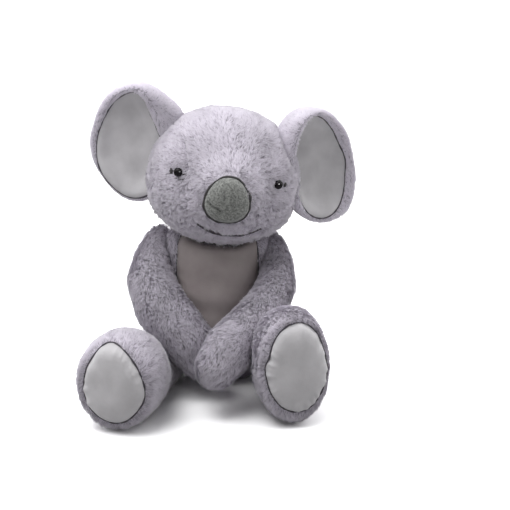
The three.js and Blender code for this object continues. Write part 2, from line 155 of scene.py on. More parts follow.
# The body
# A sewn bag of fur cloth, stuffed with loose fibre over a pellet pouch, and flat under
# the seat. The skin is the cloth itself; its fur is brushed out at the end.
def only(*objects):
    bpy.ops.object.select_all(action="DESELECT")
    for one in objects:
        one.select_set(True)
    bpy.context.view_layer.objects.active = objects[0]


def apply_modifier(piece, kind, **settings):
    modifier = piece.modifiers.new(kind.lower(), kind)
    for key, value in settings.items():
        setattr(modifier, key, value)
    only(piece)
    bpy.ops.object.modifier_apply(modifier=modifier.name)


def stuffed_skin(name, nodes, grain, soften, inset):
    """One smooth closed skin round the solids of a stuffed piece, pulled in by the foot of the fur."""
    copies = []
    for node in nodes:
        copy = bpy.data.objects.new(name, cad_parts[node].data.copy())
        bpy.context.scene.collection.objects.link(copy)
        copies.append(copy)
    only(*copies)
    bpy.ops.object.join()
    skin = bpy.context.object
    skin.name = name
    skin.data.materials.clear()
    apply_modifier(skin, "WELD", merge_threshold=0.01 * mm)
    apply_modifier(skin, "REMESH", mode="VOXEL", voxel_size=grain)
    apply_modifier(skin, "SMOOTH", factor=0.5, iterations=soften)
    apply_modifier(skin, "DISPLACE", strength=-inset, mid_level=0)
    apply_modifier(skin, "SMOOTH", factor=0.5, iterations=4)
    bpy.ops.object.shade_smooth()
    return skin


body_skin = stuffed_skin("body_skin", ["torso_cover", "belly_panel", "torso_stuffing"],
                         grain=3 * mm, soften=40, inset=2.4 * mm)
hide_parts("torso_cover", "torso_stuffing", "seat_pouch")
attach(body_skin, "body")

backing = new_material("knitted_backing")
# The knitted ground of plush fabric: it only shows as the dark between the roots of the fur.
place = add_node(backing, "ShaderNodeTexCoord")
speckle = add_node(backing, "ShaderNodeTexNoise", [(0, place.outputs["Object"])],
                   in_Scale=1 / (4 * mm), in_Detail=3.0)
shades = add_node(backing, "ShaderNodeValToRGB", [(0, speckle.outputs["Fac"])])
shades.color_ramp.elements[0].color = linear("#aaa4af")
shades.color_ramp.elements[1].color = linear("#c2bdc7")
cloth = add_node(backing, "ShaderNodeBsdfPrincipled", [("Base Color", shades.outputs[0])],
                 in_Roughness=0.95)
add_node(backing, "ShaderNodeOutputMaterial", [(0, cloth.outputs[0])])
body_skin.data.materials.append(backing)


def tree_of(piece):
    return BVHTree.FromObject(piece, bpy.context.evaluated_depsgraph_get())


def points_of(piece):
    places = np.empty(len(piece.data.vertices) * 3, np.float32)
    piece.data.vertices.foreach_get("co", places)
    return places.reshape(-1, 3).astype(float)


def normals_of(piece):
    normals = np.empty(len(piece.data.vertices) * 3, np.float32)
    piece.data.vertices.foreach_get("normal", normals)
    return normals.reshape(-1, 3).astype(float)


def move_points(piece, places):
    piece.data.vertices.foreach_set("co", places.astype(np.float32).ravel())
    piece.data.update()


def press(piece, middle, reach, depth):
    """Presses a soft round hollow into a piece's skin; a negative depth stuffs it fuller there."""
    places = points_of(piece)
    near = np.clip(1 - (np.linalg.norm(places - np.array(middle), axis=1) / reach) ** 2, 0, 1) ** 2
    move_points(piece, places - normals_of(piece) * (near * depth)[:, None])


def near_route(at, route):
    """How far each place is from a line of stitches."""
    best = np.full(len(at), 1.0)
    for start, end in zip(route[:-1], route[1:]):
        step = end - start
        share = np.clip((at - start) @ step / max(step @ step, 1e-12), 0, 1)[:, None]
        best = np.minimum(best, np.linalg.norm(at - start - share * step, axis=1))
    return best


def sink_along(piece, route, half_wide, depth):
    """Draws a piece in along a line of stitches, as tight thread does."""
    places = points_of(piece)
    away = near_route(places, np.array(route))
    move_points(piece, places - normals_of(piece) * (depth * np.exp(-(away / half_wide) ** 2))[:, None])


# The shoulders are stuffed fuller, so that the arms' tops join the body without a gap.
for out in (-1, 1):
    press(body_skin, Vector((out * 54, -2, 156)) * mm, reach=38 * mm, depth=-12 * mm)


# The belly panel
# A velour bib let into the front of the body, from the neck seam down. Its short pile
# lies flat, and the seam round it draws the cloth into a shallow groove.
velour = new_material("polyester_velour")
# Cut pile about 1 mm long: soft, nearly matt, with a pale bloom at grazing angles and slow
# shading where the pile lies one way or the other.
place = add_node(velour, "ShaderNodeTexCoord")
nap = add_node(velour, "ShaderNodeTexNoise", [(0, place.outputs["Object"])],
               in_Scale=1 / (26 * mm), in_Detail=4.0)
shades = add_node(velour, "ShaderNodeValToRGB", [(0, nap.outputs["Fac"])])
shades.color_ramp.elements[0].position = 0.3
shades.color_ramp.elements[0].color = linear("#bab8bb")
shades.color_ramp.elements[1].position = 0.7
shades.color_ramp.elements[1].color = linear("#cfcdd0")
pile_grain = add_node(velour, "ShaderNodeTexNoise", [(0, place.outputs["Object"])],
                      in_Scale=1 / (1.4 * mm), in_Detail=2.0)
grain_bump = add_node(velour, "ShaderNodeBump", [("Height", pile_grain.outputs["Fac"])],
                      in_Strength=0.35, in_Distance=0.4 * mm)
cloth = add_node(velour, "ShaderNodeBsdfPrincipled",
                 [("Base Color", shades.outputs[0]), ("Normal", grain_bump.outputs[0])],
                 in_Roughness=0.72, in_Sheen_Weight=0.35, in_Sheen_Roughness=0.4)
add_node(velour, "ShaderNodeOutputMaterial", [(0, cloth.outputs[0])])

# The bib is the same cloth, painted a darker brownish grey: painted shade for the head's shadow over it
# and the warm light bounced into it.
belly_velour_painted_shade = velour.copy()
belly_velour_painted_shade.name = "polyester_velour_painted_shade"
for one in belly_velour_painted_shade.node_tree.nodes:
    if one.bl_idname == "ShaderNodeValToRGB":
        one.color_ramp.elements[0].color = linear("#958b8b")
        one.color_ramp.elements[1].color = linear("#a49b9a")

seam_thread_and_shade = new_material("grey_thread_and_painted_seam_shade")
# Spun polyester thread, darker than the cloth: what shows of a seam is this line in its groove. The line
# is drawn wide and dark enough to stand for the shade in that groove as well, so it is partly painted
# shade.
cloth = add_node(seam_thread_and_shade, "ShaderNodeBsdfPrincipled",
                 in_Base_Color=linear("#4a464d"), in_Roughness=0.8)
add_node(seam_thread_and_shade, "ShaderNodeOutputMaterial", [(0, cloth.outputs[0])])


def slow_noise(places, wavelength, seed):
    """A gentle random value about 0 that changes over one wavelength."""
    random = np.random.default_rng(seed)
    waves = random.normal(size=(3, 10))
    waves *= random.uniform(0.6, 1.5, 10) * 2 * np.pi / wavelength / np.linalg.norm(waves, axis=0)
    return np.sin(places @ waves + random.uniform(0, 2 * np.pi, 10)).sum(axis=1) / math.sqrt(10)


def oval(wide, tall, squareness=2.0, top_squareness=None):
    """How far a panel's outline is from its middle, at each angle."""
    def reach(turn):
        power = np.where(np.sin(turn) > 0, top_squareness or squareness, squareness)
        across, along = np.cos(turn) / (wide / 2), np.sin(turn) / (tall / 2)
        return (np.abs(across) ** power + np.abs(along) ** power) ** (-1 / power)
    return reach


bare_places = {}  # for each skin, where a panel covers it and no fur grows


def panel_on(name, skin, middle, facing, up, outline, proud, puckers, folds, seed, thick=1.2 * mm):
    """A cloth panel laid on a skin, drawn down and puckered along its seam, with the seam's route."""
    bpy.ops.mesh.primitive_grid_add(x_subdivisions=100, y_subdivisions=100, size=2)
    panel = bpy.context.object
    panel.name = name
    square = points_of(panel)
    across = square[:, 0] * np.sqrt(1 - square[:, 1] ** 2 / 2)
    along = square[:, 1] * np.sqrt(1 - square[:, 0] ** 2 / 2)
    share = np.hypot(across, along)
    turn = np.arctan2(along, across)
    reach = share * outline(turn)
    side = up.cross(facing).normalized()
    top = facing.cross(side)
    bare_places[skin.name] = (np.array(middle), np.array([side, top, facing]), outline)

    def drop(tree, far, angle, rise):
        """Lays one point on the skin. Past the skin's edge it moves in until it finds cloth."""
        spot = None
        while spot is None:
            off = side * (far * math.cos(angle)) + top * (far * math.sin(angle))
            spot, normal, _, _ = tree.ray_cast(middle + facing * 0.1 + off, -facing)
            far -= 0.4 * mm
        return spot + normal * rise

    def seam_at(tree, rise):
        angles = np.radians(np.arange(0, 360, 3))
        return [drop(tree, far, angle, rise) for far, angle in zip(outline(angles), angles)]

    tree = tree_of(skin)
    route = seam_at(tree, 0)
    sink_along(skin, route + route[:1], 4 * mm, 2.4 * puckers)
    tree = tree_of(skin)
    ring = np.stack([np.cos(turn), np.sin(turn), 0 * turn], 1)
    drawn = np.clip((share - 0.7) / 0.2, 0, 1) * np.clip((1 - share) / 0.05, 0, 1)
    tight = np.clip(0.55 + 0.6 * slow_noise(ring, 2.2, seed + 4), 0.1, 1.2)
    pucker = slow_noise(ring, 0.5, seed) + 0.7 * slow_noise(ring, 0.22, seed + 1)
    pucker *= puckers * tight * drawn
    flat = np.stack([0.5 * reach * np.cos(turn), reach * np.sin(turn), 0 * turn], 1)
    fold = folds * np.clip((1 - share) / 0.3, 0, 1) * slow_noise(flat, 30 * mm, seed + 2)
    height = 0.4 * mm + proud * (1 - np.clip(share, 0, 1) ** 6) + pucker + fold
    laid = np.array([drop(tree, *point) for point in zip(reach, turn, height)])
    rim = seam_at(tree, 0.5 * mm)
    move_points(panel, laid)
    apply_modifier(panel, "SMOOTH", factor=0.5, iterations=2)
    apply_modifier(panel, "SOLIDIFY", thickness=thick, offset=-1)
    bpy.ops.object.shade_smooth()
    panel.data.materials.append(velour)
    return panel, rim


def thread_line(name, route, radius, closed, material):
    """A line of stitches: one twisted thread that swells and thins a little along its way."""
    curve = bpy.data.curves.new(name, "CURVE")
    curve.dimensions = "3D"
    curve.bevel_depth = radius
    curve.bevel_resolution = 1
    line = curve.splines.new("POLY")
    line.points.add(len(route) - 1)
    swell = 1 + 0.3 * slow_noise(np.array(route), 9 * mm, len(route))
    for point, spot, wide in zip(line.points, route, swell):
        point.co = (*spot, 1)
        point.radius = max(wide, 0.4)
    line.use_cyclic_u = closed
    thread = bpy.data.objects.new(name, curve)
    bpy.context.scene.collection.objects.link(thread)
    only(thread)
    bpy.ops.object.convert(target="MESH")
    thread.data.materials.append(material)
    bpy.ops.object.shade_smooth()
    return bpy.context.object


front = Vector((0, -1, 0))
upward = Vector((0, 0, 1))
low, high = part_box("belly_panel")
belly_middle = Vector((0, 0, (low.z + high.z) / 2))
belly_outline = oval(high.x - low.x, high.z - low.z, 2.2, 8)
belly, belly_rim = panel_on("belly_panel_cloth", body_skin, belly_middle, front, upward, belly_outline,
                            proud=2.6 * mm, puckers=0.6 * mm, folds=1.1 * mm, seed=3)
# The bib takes the darker cloth, whose colour is painted shade.
belly.data.materials[0] = belly_velour_painted_shade
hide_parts("belly_panel")
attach(belly, "body")
belly_seam = thread_line("belly_seam", belly_rim, 0.7 * mm, True, seam_thread_and_shade)
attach(belly_seam, "body")


# The head
# The largest stuffed piece, sewn to the body at the neck and leant a little to its left.
# The muzzle stands forward and the cloth sinks in round each eye, where the washer holds it.
head_place = (Matrix.Translation(Vector((7, -8, 226.5)) * mm)
              @ Matrix.Rotation(math.radians(7), 4, "Y") @ Matrix.Rotation(math.radians(4.5), 4, "Z"))


def on_head(left, front_, up):
    return head_place @ Vector((left, -front_, up))


head_skin = stuffed_skin("head_skin", ["head_cover", "head_stuffing"],
                         grain=3 * mm, soften=40, inset=2.4 * mm)
eye_spots = {}
# With the muzzle stuffed fuller, the eyes sit a little further out than their shanks' holes.
eye_nudge = {"left": Vector((4.4, 0, 0)) * mm, "right": Vector((-1.1, 0, 2.6)) * mm}
for side in ("left", "right"):
    places = points_of(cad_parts[side + "_eye"])
    away = np.linalg.norm(places - np.array(head_place.translation), axis=1)
    crown, foot = Vector(places[away.argmax()]), Vector(places[away.argmin()])
    outward = (crown - foot).normalized()
    crown += head_place.to_3x3() @ eye_nudge[side]
    eye_spots[side] = (crown, outward)
    press(head_skin, crown, reach=17 * mm, depth=3.5 * mm)
press(head_skin, on_head(4 * mm, 78 * mm, -2 * mm), reach=46 * mm, depth=-9 * mm)
press(head_skin, on_head(4 * mm, 84 * mm, -3 * mm), reach=36 * mm, depth=-6 * mm)
head_skin.data.materials.append(backing)
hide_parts("head_cover", "head_stuffing")
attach(head_skin, "head")


# The nose
# A padded oval of short grey plush, sewn to the muzzle all round; the thread and the shaded gap round
# the pad show together as one thick dark line in the fur, so that ring is partly painted shade.
nose_cloth = new_material("short_grey_plush")
# Pile under 2 mm: the tips scatter the light, so the colour breaks into small flecks.
place = add_node(nose_cloth, "ShaderNodeTexCoord")
flecks = add_node(nose_cloth, "ShaderNodeTexNoise", [(0, place.outputs["Object"])],
                  in_Scale=1 / (1.9 * mm), in_Detail=4.0, in_Roughness=0.7)
shades = add_node(nose_cloth, "ShaderNodeValToRGB", [(0, flecks.outputs["Fac"])])
shades.color_ramp.elements[0].position = 0.35
shades.color_ramp.elements[0].color = linear("#4f504f")
shades.color_ramp.elements[1].position = 0.66
shades.color_ramp.elements[1].color = linear("#9a9c98")
grain_bump = add_node(nose_cloth, "ShaderNodeBump", [("Height", flecks.outputs["Fac"])],
                      in_Strength=0.8, in_Distance=1.2 * mm)
cloth = add_node(nose_cloth, "ShaderNodeBsdfPrincipled",
                 [("Base Color", shades.outputs[0]), ("Normal", grain_bump.outputs[0])],
                 in_Roughness=0.9, in_Sheen_Weight=0.2)
add_node(nose_cloth, "ShaderNodeOutputMaterial", [(0, cloth.outputs[0])])

nose = stuffed_skin("nose_pad", ["nose_cover", "nose_stuffing"],
                    grain=1.5 * mm, soften=16, inset=0.4 * mm)
# The pad narrows by a tenth towards its top.
places = points_of(nose)
middle = places.mean(axis=0)
turned = (places - middle) @ np.array(head_place.to_3x3())
turned[:, 0] *= 1 - 0.1 * np.clip(turned[:, 2] / (22 * mm), -0.3, 1)
move_points(nose, middle + turned @ np.array(head_place.to_3x3()).T)
nose.data.materials.append(nose_cloth)
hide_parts("nose_cover", "nose_stuffing")
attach(nose, "head")
nose_middle = sum((Vector(p) for p in points_of(nose)), Vector()) / len(nose.data.vertices)

# One short crease where the pad was squeezed: mm to the left and up from the pad's middle.
crease = [(-19, -4), (-15, -7), (-11, -7.5), (-7, -10)]
tree = tree_of(nose)
way = head_place.to_3x3().col[1]
starts = [nose_middle + head_place.to_3x3() @ Vector((x, -60, z)) * mm for x, z in crease]
sink_along(nose, [tree.ray_cast(start, way)[0] for start in starts], half_wide=1.7 * mm, depth=4.5 * mm)


def seam_round(pad, middle):
    """The line of stitches round a pad, just behind its widest part."""
    pad_tree = tree_of(pad)
    route = []
    for turn in np.radians(np.arange(0, 360, 5)):
        way = head_place.to_3x3() @ Vector((math.cos(turn), 0.1, math.sin(turn))).normalized()
        route.append(pad_tree.ray_cast(middle + way * 0.08, -way)[0] + way * 0.3 * mm)
    return route


face_way = head_place.to_3x3() @ Vector((0, -1, 0))
dark_thread = new_material("black_embroidery_thread")
# Glossy rayon twist, worked over the fur.
cloth = add_node(dark_thread, "ShaderNodeBsdfPrincipled",
                 in_Base_Color=linear("#1d191c"), in_Roughness=0.55)
add_node(dark_thread, "ShaderNodeOutputMaterial", [(0, cloth.outputs[0])])
# The black ring is thicker than the thread alone: it also stands for the shade in the gap round the pad,
# painted shade.
nose_seam = thread_line("nose_seam", seam_round(nose, nose_middle), 1.45 * mm, True, dark_thread)
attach(nose_seam, "head")


# The eyes
# Black moulded domes on ribbed shanks, pushed through the cloth and locked from behind. Beside
# each one, three lashes are worked over the fur, which is parted for them.
eye_gloss = new_material("polished_black_plastic")
# Moulded acrylic: almost black, with one sharp highlight.
shell = add_node(eye_gloss, "ShaderNodeBsdfPrincipled",
                 in_Base_Color=linear("#040304"), in_Roughness=0.04, in_IOR=1.22)
add_node(eye_gloss, "ShaderNodeOutputMaterial", [(0, shell.outputs[0])])
eye_radius = 4.6 * mm
eye_dome = 4 * mm
eye_sink = {"left": 3.3 * mm, "right": 1.3 * mm}
# Root and end of each lash, outward and up; the left ones are smaller and start on the dome.
lashes = [((2.6, 1.8), (7, 5.6)), ((3, 0.6), (8.2, 2)), ((3, -0.6), (7.2, -1.4))]
lash_size = {"left": 0.5 * mm, "right": 0.66 * mm}
lash_shift = {"left": (-7, 2), "right": (-1.8, 0)}
lash_radius = 1.0 * mm
lash_partings = []


def add_ball(name, segments, rings):
    """A unit ball, its faces sorted: the primitive gives them in another order each time."""
    bpy.ops.mesh.primitive_uv_sphere_add(segments=segments, ring_count=rings, radius=1)
    ball = bpy.context.object
    ball.name = name
    corners = [tuple(corner.co) for corner in ball.data.vertices]
    faces = sorted(tuple(face.vertices) for face in ball.data.polygons)
    ball.data.clear_geometry()
    ball.data.from_pydata(corners, [], faces)
    return ball


for side, (crown, outward) in eye_spots.items():
    eye = add_ball(side + "_eye_dome", segments=48, rings=24)
    stand = outward.to_track_quat("Z", "Y").to_matrix().to_4x4()
    size = Matrix.Diagonal((eye_radius, eye_radius, eye_dome, 1))
    eye.data.transform(Matrix.Translation(crown - outward * (eye_dome + eye_sink[side])) @ stand @ size)
    bpy.ops.object.shade_smooth()
    eye.data.materials.append(eye_gloss)
    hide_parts(side + "_eye")
    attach(eye, "head")
    catch_light.light_linking.receiver_collection.objects.link(eye)
    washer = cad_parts[side + "_eye_washer"]
    washer.data.materials.clear()
    washer.data.materials.append(eye_gloss)
    away = 1 if side == "left" else -1
    across_way = (head_place.to_3x3().col[0] * away - outward * outward.x * away).normalized()
    up_way = (head_place.to_3x3().col[2] - outward * outward.z).normalized()
    shift = lash_shift[side]
    for i, (root, end) in enumerate(lashes):
        route = []
        for share in (0, 0.33, 0.67, 1.0):
            across, rise = (shift[k] + root[k] + (end[k] - root[k]) * share for k in range(2))
            over = (2.1 + 0.8 * math.sin(math.pi * share * 0.8)) * mm - eye_sink[side] * 0.4
            beside = (across_way * across + up_way * rise) * lash_size[side]
            route.append(crown + beside + outward * over)
        lash_partings.append((np.array([crown, crown + beside]), 1.1 * mm))
        lash = thread_line(f"{side}_lash_{i + 1}", route, lash_radius, False, dark_thread)
        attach(lash, "head")


# The mouth
# A smile worked in one line of dark thread under the nose, pulled down into the fur. The
# forehead is pieced, and its side seam parts the fur in a short crease.
# Points in mm to the head's left and up from its middle.
mouth_points = [(-25, -38.5), (-17, -43), (-8, -46.5), (1, -48.8), (10, -49.6), (20, -48.4),
                (30, -44.8), (40, -39.5)]
brow_points = [(-44, 37), (-42, 31), (-40, 24), (-38, 16)]


def stitched(points, rise):
    """The line of stitches through some points of the face, at a height over the cloth."""
    route = []
    for left_, up_ in points:
        spot, normal, _, _ = tree_of(head_skin).ray_cast(on_head(left_ * mm, 0.14, up_ * mm), -face_way)
        route.append(spot + normal * rise)
    return route


mouth_thread = new_material("grey_embroidery_thread")
# The same twist in dark grey, half covered by the fur on both sides of it.
cloth = add_node(mouth_thread, "ShaderNodeBsdfPrincipled",
                 in_Base_Color=linear("#39333a"), in_Roughness=0.6)
add_node(mouth_thread, "ShaderNodeOutputMaterial", [(0, cloth.outputs[0])])
sink_along(head_skin, stitched(mouth_points, 0), half_wide=4.5 * mm, depth=3.4 * mm)
sink_along(head_skin, stitched(brow_points, 0), half_wide=2.4 * mm, depth=2.6 * mm)
mouth = thread_line("mouth_stitch", stitched(mouth_points, 2.4 * mm), 1.1 * mm, False, mouth_thread)
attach(mouth, "head")
stitch_parting = 0.9 * mm
face_stitches = lash_partings + [(np.array(stitched(points, 0)), stitch_parting)
                                 for points in (mouth_points, brow_points)]


# The ears
# Flat padded dishes: fur cloth behind and round the rim, velour in the hollow front, sewn
# into the side seams of the head. The toy's left ear is folded back further.
ear_wide = 97 * mm
ear_tall = 122 * mm
ear_rim = 15 * mm
ear_dish = 8 * mm
ear_dome = 20 * mm
ear_profile = [(0, -ear_dish), (0.36, -0.82 * ear_dish), (0.66, -0.3 * ear_dish), (0.86, 0.38 * ear_rim),
               (0.96, 0.4 * ear_rim), (1, 0), (0.95, -0.72 * ear_dome), (0.76, -0.94 * ear_dome),
               (0.4, -ear_dome), (0, -ear_dome)]


def along_profile(profile, share):
    """Reads a profile at shares of its length, rounded between its points."""
    points = np.array(profile, float)
    points = np.vstack([2 * points[0] - points[1], points, 2 * points[-1] - points[-2]])
    at = np.clip(share, 0, 1) * (len(profile) - 1)
    i = np.minimum(at.astype(int), len(profile) - 2)
    f = (at - i)[:, None]
    a, b, c, d = (points[i + k] for k in range(4))
    bend = (2 * a - 5 * b + 4 * c - d) * f ** 2 + (3 * b - a - 3 * c + d) * f ** 3
    return 0.5 * (2 * b + (c - a) * f + bend)


def pattern(*points):
    """A panel's outline, drawn as (degrees, mm) pairs round its middle, corners rounded."""
    turns, reaches = zip(*points)

    def reach(turn):
        turned = [np.degrees(turn) + step for step in range(-12, 13, 3)]
        return np.mean([np.interp(one, turns, reaches, period=360) for one in turned], axis=0) * mm
    return reach


# The fur of the ear's back comes round the edge and folds forward over the inner top corner,
# so each lining is cut away there.
lining_patterns = {
    "left": pattern((90, 56), (79, 53), (68, 46), (52, 41), (31, 35.5), (8, 35), (-9, 37), (-27, 38.5),
                    (-41, 42), (-57, 49), (-68, 53.5), (-81, 55.5), (-95, 57), (-118, 51), (-140, 41),
                    (-160, 33), (180, 31), (160, 32), (136, 38.5), (124, 44), (111, 51), (101, 56.5)),
    "right": pattern((84, 53), (103, 47), (115, 43.5), (128, 39.5), (144, 36.5), (167, 36.5),
                     (-172, 38), (-152, 42), (-141, 45), (-126, 48.5), (-111, 53), (-101, 57),
                     (-88, 59.5), (-60, 52), (-35, 42), (-10, 32), (14, 25), (41, 28.5), (57, 31),
                     (68, 39.5), (76, 51)),
}
ear_outlines = {
    "left": pattern((85, 60.5), (73, 58.5), (59, 53), (42, 49), (21, 46), (-2, 43.5), (-20, 48),
                    (-35, 52), (-47, 56), (-58, 63.5), (-69, 66), (-80, 62), (-95, 61.5), (-115, 56),
                    (-140, 49), (180, 45), (140, 52), (117, 60), (106, 61), (97, 61.5)),
    "right": pattern((83, 61), (98, 57), (108, 55), (119, 51.5), (134, 46.5), (155, 42), (175, 43.5),
                     (-170, 43.5), (-155, 45.5), (-138, 48), (-121, 52), (-107, 58), (-98, 61),
                     (-86, 63), (-65, 58), (-45, 51), (-15, 48), (10, 52), (28, 57.5), (39, 54.5),
                     (53, 55), (64, 57), (75, 61)),
}
ear_places = {}
ear_skins = {}
# How each ear is set: its side, its turn and lean in degrees, its height on the head in mm, how
# deep its lining is sunk, and how far its top tilts back.
ear_settings = {"left": (1, 32, 16, 20, 11 * mm, 7 * mm),
                "right": (-1, 8, 9, 25.5, 7 * mm, 4 * mm)}
for side, (out, turn, lean, raised, hollow, tilt) in ear_settings.items():
    place = (head_place @ Matrix.Translation(Vector((out * 96, 2, raised)) * mm)
             @ Matrix.Rotation(math.radians(out * turn), 4, "Z")
             @ Matrix.Rotation(math.radians(-lean), 4, "Y"))
    ear_places[side] = place
    ear = add_ball(side + "_ear_skin", segments=96, rings=56)
    ball = points_of(ear)
    polar = np.arccos(np.clip(ball[:, 2], -1, 1)) / np.pi
    around = np.arctan2(ball[:, 1], ball[:, 0])
    shape = along_profile(ear_profile, polar)
    span = np.clip(shape[:, 0], 0, None) * ear_outlines[side](around)
    rise = shape[:, 1]
    across, along = np.cos(around) * span, np.sin(around) * span
    off_pattern = np.hypot(across, along) - lining_patterns[side](np.arctan2(along, across))
    inner_top = np.clip((along / ear_tall - out * across / ear_wide) * 2, 0, 1)
    deeper = np.clip(-off_pattern / (14 * mm), 0, 1) * np.clip(0.35 - out * across / ear_wide, 0, 1)
    deeper *= hollow
    deeper *= np.clip(0.7 + 2 * along / ear_tall, 0, 1)
    deeper *= np.where(polar < 0.5, 1, 0.8)
    folded = 11 * mm * np.clip(off_pattern / (4 * mm), 0, 1)
    folded -= 26 * mm * np.clip(off_pattern / (28 * mm), 0, 1) ** 1.4
    folded *= inner_top * (polar < 0.6)
    tilted = tilt * 2 * along / ear_tall
    local = np.stack([across, -rise - folded + deeper + tilted, along, np.ones(len(ball))], 1)
    move_points(ear, (local @ np.array(place).T)[:, :3])
    apply_modifier(ear, "SMOOTH", factor=0.5, iterations=7)
    facing = -place.to_3x3().col[1]
    lining, rim = panel_on(side + "_ear_velour", ear, place.translation, facing, place.to_3x3().col[2],
                           lining_patterns[side], proud=1.4 * mm, puckers=0.6 * mm, folds=0.9 * mm,
                           seed=11 + out)
    seam = thread_line(side + "_ear_seam", rim, 0.65 * mm, True, seam_thread_and_shade)
    # The ear ends where it meets the head. Its folded corner touches itself, hence use_self.
    cutter = bpy.data.objects.new("cutter", head_skin.data.copy())
    bpy.context.scene.collection.objects.link(cutter)
    apply_modifier(cutter, "DISPLACE", strength=1.2 * mm, mid_level=0)
    for cut_piece in (ear, lining, seam):
        apply_modifier(cut_piece, "BOOLEAN", operation="DIFFERENCE", solver="EXACT",
                       use_self=cut_piece == ear, object=cutter)
        bpy.ops.object.shade_smooth()
    bpy.data.objects.remove(cutter)
    ear.data.materials.clear()
    ear.data.materials.append(backing)
    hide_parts(side + "_ear_back", side + "_ear_wadding")
    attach(ear, side + "_ear")
    ear_skins[side] = ear

    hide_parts(side + "_ear_lining")
    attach(lining, side + "_ear")
    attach(seam, side + "_ear")


# The arms
# Long stuffed tubes of fur cloth, thickest at the paw, sewn in at the shoulders and lying
# forward into the lap, the left paw on the right one.
arm_skins = {}
for side in ("left", "right"):
    arm = stuffed_skin(side + "_arm_skin", [side + "_arm_cover", side + "_arm_stuffing"],
                       grain=2.5 * mm, soften=26, inset=2.2 * mm)
    if side == "left":
        press(arm, Vector((-19, -128, 34)) * mm, reach=52 * mm, depth=-4 * mm)
    arm.data.materials.append(backing)
    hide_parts(side + "_arm_cover", side + "_arm_stuffing")
    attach(arm, side + "_arm")
    arm_skins[side] = arm


# The legs and soles
# Short thick legs, firmly stuffed at the foot, with an oval velour sole let into the end.
# The sole's seam is eased in, so the cloth puckers all round it.
leg_headings = {"left": Vector((0.182, -0.983, 0)), "right": Vector((-0.292, -0.956, 0))}
sole_middles = {"left": Vector((82.5, -141, 62)) * mm, "right": Vector((-96, -155, 52)) * mm}
sole_outlines = {
    "left": pattern((91, 49), (107, 46.5), (127, 40), (151, 31), (172, 33), (-170, 31), (-140, 34.5),
                    (-118, 40), (-102, 44.5), (-88, 45), (-73, 44), (-54, 36.5), (-34, 33.5),
                    (-10, 30), (27, 29.5), (50, 35), (71, 43.5)),
    "right": pattern((97, 42.5), (78, 37), (45, 30.5), (15, 28.5), (-18, 30.5), (-50, 32.5),
                     (-74, 37.5), (-87, 40), (-109, 40.5), (-130, 39), (-159, 35), (172, 31.5),
                     (134, 33.5), (111, 40)),
}
# Where each foot is stuffed fullest, over and beside the sole.
full_places = {"left": [(72, -122, 112), (50, -122, 92)], "right": [(-74, -132, 92), (-62, -130, 60)]}
leg_skins = {}
for side in ("left", "right"):
    leg = stuffed_skin(side + "_leg_skin", [side + "_leg_cover", side + "_sole", side + "_leg_stuffing"],
                       grain=3 * mm, soften=30, inset=2.2 * mm)
    for full in full_places[side]:
        press(leg, Vector(full) * mm, reach=46 * mm, depth=-5 * mm)
    # It lies flat where it rests on the floor.
    places = points_of(leg)
    move_points(leg, np.column_stack([places[:, :2], np.maximum(places[:, 2], 0.8 * mm)]))
    leg.data.materials.append(backing)
    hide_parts(side + "_leg_cover", side + "_leg_stuffing")
    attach(leg, side + "_leg")
    leg_skins[side] = leg
    heading = leg_headings[side].normalized()
    sole, rim = panel_on(side + "_sole_velour", leg, sole_middles[side], heading, upward,
                         sole_outlines[side], proud=4 * mm, puckers=0.9 * mm, folds=0.4 * mm,
                         seed=21 if side == "left" else 31)
    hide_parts(side + "_sole")
    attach(sole, side + "_leg")
    seam = thread_line(side + "_sole_seam", rim, 0.9 * mm, True, seam_thread_and_shade)
    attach(seam, side + "_leg")


# The fur
# Dense acrylic pile 5 to 7 mm long, brushed and then handled: it lies in small tufts that
# catch the light differently. Each tuft is about a dozen flat strips drawn together, and a
# strip is as wide as a lock of fine hairs, so that it shows.
fur = new_material("acrylic_plush_pile")
# The hairs are painted darker towards the root, painted shade for where little light gets in, and pale
# at the tip. Along U the pile's map runs from the darker tufts to the paler ones, and along V from root
# to tip.
shade_map = add_node(fur, "ShaderNodeUVMap", uv_map="OFBake")
axes = add_node(fur, "ShaderNodeSeparateXYZ", [(0, shade_map.outputs[0])])
depth = add_node(fur, "ShaderNodeValToRGB", [(0, axes.outputs["Y"])])
# The root's darker colour is painted shade.
depth.color_ramp.elements[0].color = linear("#b4adba")
depth.color_ramp.elements[1].color = linear("#f5f1f9")
middle = depth.color_ramp.elements.new(0.45)
middle.color = linear("#dfd9e5")
tone = add_node(fur, "ShaderNodeMapRange", [(0, axes.outputs["X"])])
tone.inputs["To Min"].default_value = 0.82
tone.inputs["To Max"].default_value = 1.14
tinted = add_node(fur, "ShaderNodeVectorMath", [(0, depth.outputs[0]), (1, tone.outputs[0])],
                  operation="MULTIPLY")
hair = add_node(fur, "ShaderNodeBsdfPrincipled", [("Base Color", tinted.outputs[0])], in_Roughness=0.85,
                in_Sheen_Weight=0.7, in_Sheen_Roughness=0.4)
# Thin fibre lets some of the light behind it through.
through = add_node(fur, "ShaderNodeBsdfTranslucent", [("Color", tinted.outputs[0])])
mixed = add_node(fur, "ShaderNodeMixShader", [(1, hair.outputs[0]), (2, through.outputs[0])])
mixed.inputs[0].default_value = 0.25
add_node(fur, "ShaderNodeOutputMaterial", [(0, mixed.outputs[0])])

hair_wide = 0.5 * mm
hair_bend = 0.55  # where a hair bends over, as a share of its length
tuft_area = 6.5  # mm2
floor_top = 0.3 * mm  # no hair reaches below this
all_skins = [body_skin, head_skin, nose, *ear_skins.values(), *arm_skins.values(), *leg_skins.values()]
skin_trees = {one.name: tree_of(one) for one in all_skins}


def unit(vectors):
    return vectors / np.maximum(np.linalg.norm(vectors, axis=1, keepdims=True), 1e-9)


def evenly(amount):
    return lambda at: amount + 0 * at[:, 2]


